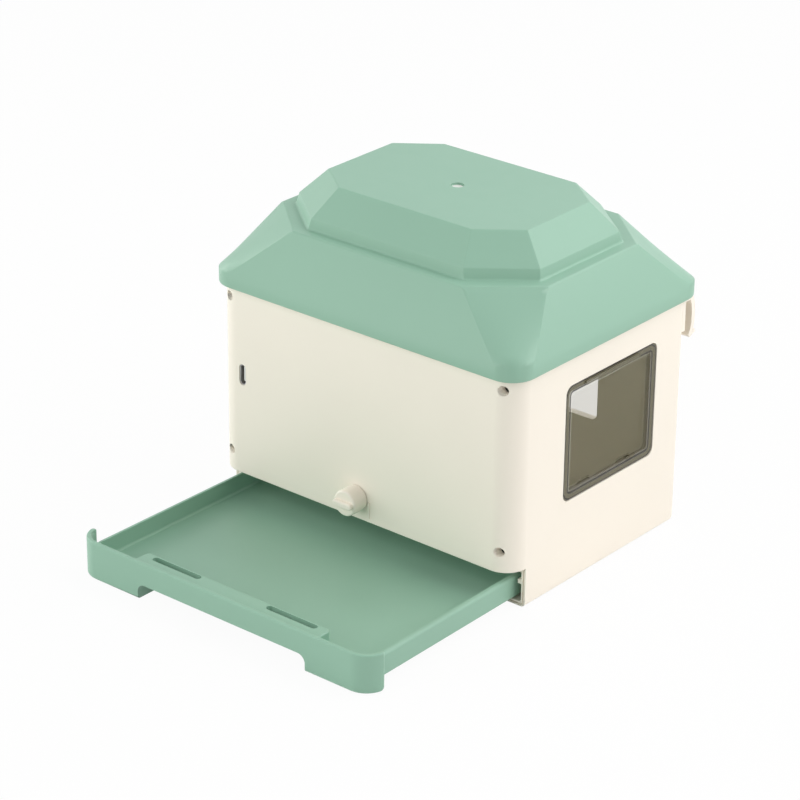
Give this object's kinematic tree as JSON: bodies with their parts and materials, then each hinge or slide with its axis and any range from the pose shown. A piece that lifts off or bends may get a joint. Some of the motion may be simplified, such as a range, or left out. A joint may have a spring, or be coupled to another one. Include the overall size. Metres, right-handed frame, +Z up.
{
  "type": "heated bird nest",
  "caption": "Heated cage-bird nest house with a hipped lift-off roof, tinted side window, rear entrance, cage hooks and a lockable pull-out tray.",
  "frame": {"origin": "on the ground under the middle of the house's base, where the house rests", "axes": "+X to the right wall with the window, -Y to the front with the tray, +Z up"},
  "size_m": [0.1586, 0.2057, 0.1438],
  "materials": {
    "cream_plastic": "satin moulded",
    "sage_plastic": "satin moulded",
    "tinted_pane": "clear tinted",
    "screw_steel": "plated",
    "heat_aluminium": "anodised",
    "amber_film": "polyimide film",
    "grey_foam": "closed-cell foam",
    "white_acetal": "moulded",
    "board_green": "solder mask",
    "black_plastic": "moulded",
    "red_lead": "silicone insulation"
  },
  "bodies": {
    "house": {"house_shell": "cream_plastic", "front_cover": "cream_plastic", "cover_screws": "screw_steel", "inner_wall": "cream_plastic", "heat_plate": "heat_aluminium", "plate_screws": "screw_steel", "heating_film": "amber_film", "insulation_sheet": "grey_foam", "window_pane": "tinted_pane", "hook_right": "cream_plastic", "hook_left": "cream_plastic", "hook_screws": "screw_steel", "control_board": "board_green", "board_screws": "screw_steel", "usb_shell": "screw_steel", "usb_tongue": "white_acetal", "control_chip": "black_plastic", "power_transistor": "black_plastic", "heater_connector": "white_acetal", "sensor_connector": "white_acetal", "temperature_sensor": "black_plastic", "heater_leads": "red_lead", "sensor_leads": "red_lead"},
    "roof_cap": {"roof": "sage_plastic", "vent_plug": "white_acetal"},
    "drawer": {"tray": "sage_plastic"},
    "turn_lock": {"lock_knob": "cream_plastic", "lock_cam": "white_acetal", "cam_screw": "screw_steel"},
    "latch": {"latch_plate": "white_acetal"}
  },
  "joints": [
    {"name": "tray_slide", "type": "slide", "parent": "house", "child": "drawer", "axis": [0, -1, 0], "range_m": [-0.0839, 0.01]},
    {"name": "knob_turn", "type": "hinge", "parent": "house", "child": "turn_lock", "pos_m": [-0.0015, -0.056, 0.0266], "axis": [0, 1, 0], "range_deg": [0, 90]},
    {"name": "latch_drop", "type": "slide", "parent": "house", "child": "latch", "axis": [0, 0, -1], "range_m": [0, 0.005]},
    {"name": "roof_lift", "type": "slide", "parent": "house", "child": "roof_cap", "axis": [0, 0, 1], "range_m": [0, 0.06]}
  ],
  "couplings": [
    {"joint": "knob_turn", "follows": "latch_drop", "rad_per_m": 314.16}
  ]
}
